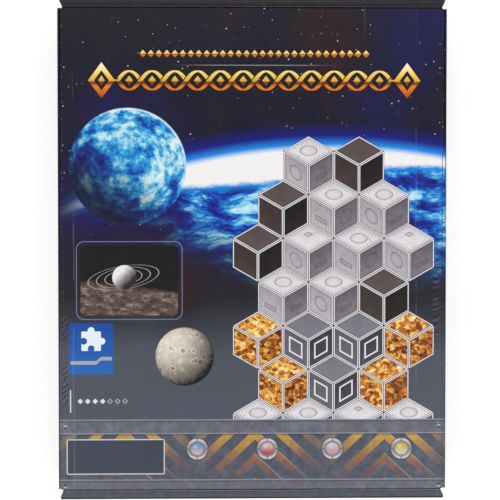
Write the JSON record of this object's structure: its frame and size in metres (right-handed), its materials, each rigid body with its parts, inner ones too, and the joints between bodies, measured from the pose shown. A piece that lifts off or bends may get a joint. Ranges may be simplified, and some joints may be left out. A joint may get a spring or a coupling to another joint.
{
  "type": "tuck-end carton",
  "caption": "Flat rectangular tuck-end carton of fluted printed board, lying on its back panel, with a hinged closure, a bent tuck flap and two dust flaps at each end.",
  "frame": {"origin": "middle of the back panel's outer face, midway between the sides and between the ends", "axes": "+Z out of the front panel, +Y up the print towards the top end, +X to the right of the print"},
  "size_m": [0.24, 0.3102, 0.05],
  "materials": {
    "printed_front": "gloss print",
    "printed_board": "gloss print",
    "plain_board": "matt"
  },
  "bodies": {
    "sleeve": {"front_panel": "printed_front", "back_panel": "printed_board", "left_side_panel": "printed_board", "right_side_panel": "printed_board", "glue_flap": "plain_board"},
    "top_closure": {"top_closure_panel": "printed_board", "top_tuck_flap": "printed_board"},
    "bottom_closure": {"bottom_closure_panel": "printed_board", "bottom_tuck_flap": "printed_board"},
    "top_left_flap": {"top_left_dust_flap": "printed_board"},
    "top_right_flap": {"top_right_dust_flap": "printed_board"},
    "bottom_left_flap": {"bottom_left_dust_flap": "printed_board"},
    "bottom_right_flap": {"bottom_right_dust_flap": "printed_board"}
  },
  "joints": [
    {"name": "top_closure_crease", "type": "hinge", "parent": "sleeve", "child": "top_closure", "pos_m": [0, 0.1492, 0.0008], "axis": [-1, 0, 0], "range_deg": [0, 83.5]},
    {"name": "bottom_closure_crease", "type": "hinge", "parent": "sleeve", "child": "bottom_closure", "pos_m": [0, -0.1492, 0.0008], "axis": [1, 0, 0], "range_deg": [0, 83.5]},
    {"name": "top_left_flap_crease", "type": "hinge", "parent": "sleeve", "child": "top_left_flap", "pos_m": [-0.1192, 0.1473, 0.025], "axis": [0, 0, 1], "range_deg": [0, 90]},
    {"name": "top_right_flap_crease", "type": "hinge", "parent": "sleeve", "child": "top_right_flap", "pos_m": [0.1192, 0.1473, 0.025], "axis": [0, 0, -1], "range_deg": [0, 90]},
    {"name": "bottom_left_flap_crease", "type": "hinge", "parent": "sleeve", "child": "bottom_left_flap", "pos_m": [-0.1192, -0.1473, 0.025], "axis": [0, 0, -1], "range_deg": [0, 90]},
    {"name": "bottom_right_flap_crease", "type": "hinge", "parent": "sleeve", "child": "bottom_right_flap", "pos_m": [0.1192, -0.1473, 0.025], "axis": [0, 0, 1], "range_deg": [0, 90]}
  ],
  "couplings": [
    {"joint": "top_left_flap_crease", "follows": "top_closure_crease", "ratio": 0.5},
    {"joint": "top_right_flap_crease", "follows": "top_closure_crease", "ratio": 0.5},
    {"joint": "bottom_left_flap_crease", "follows": "bottom_closure_crease", "ratio": 0.5},
    {"joint": "bottom_right_flap_crease", "follows": "bottom_closure_crease", "ratio": 0.5}
  ]
}
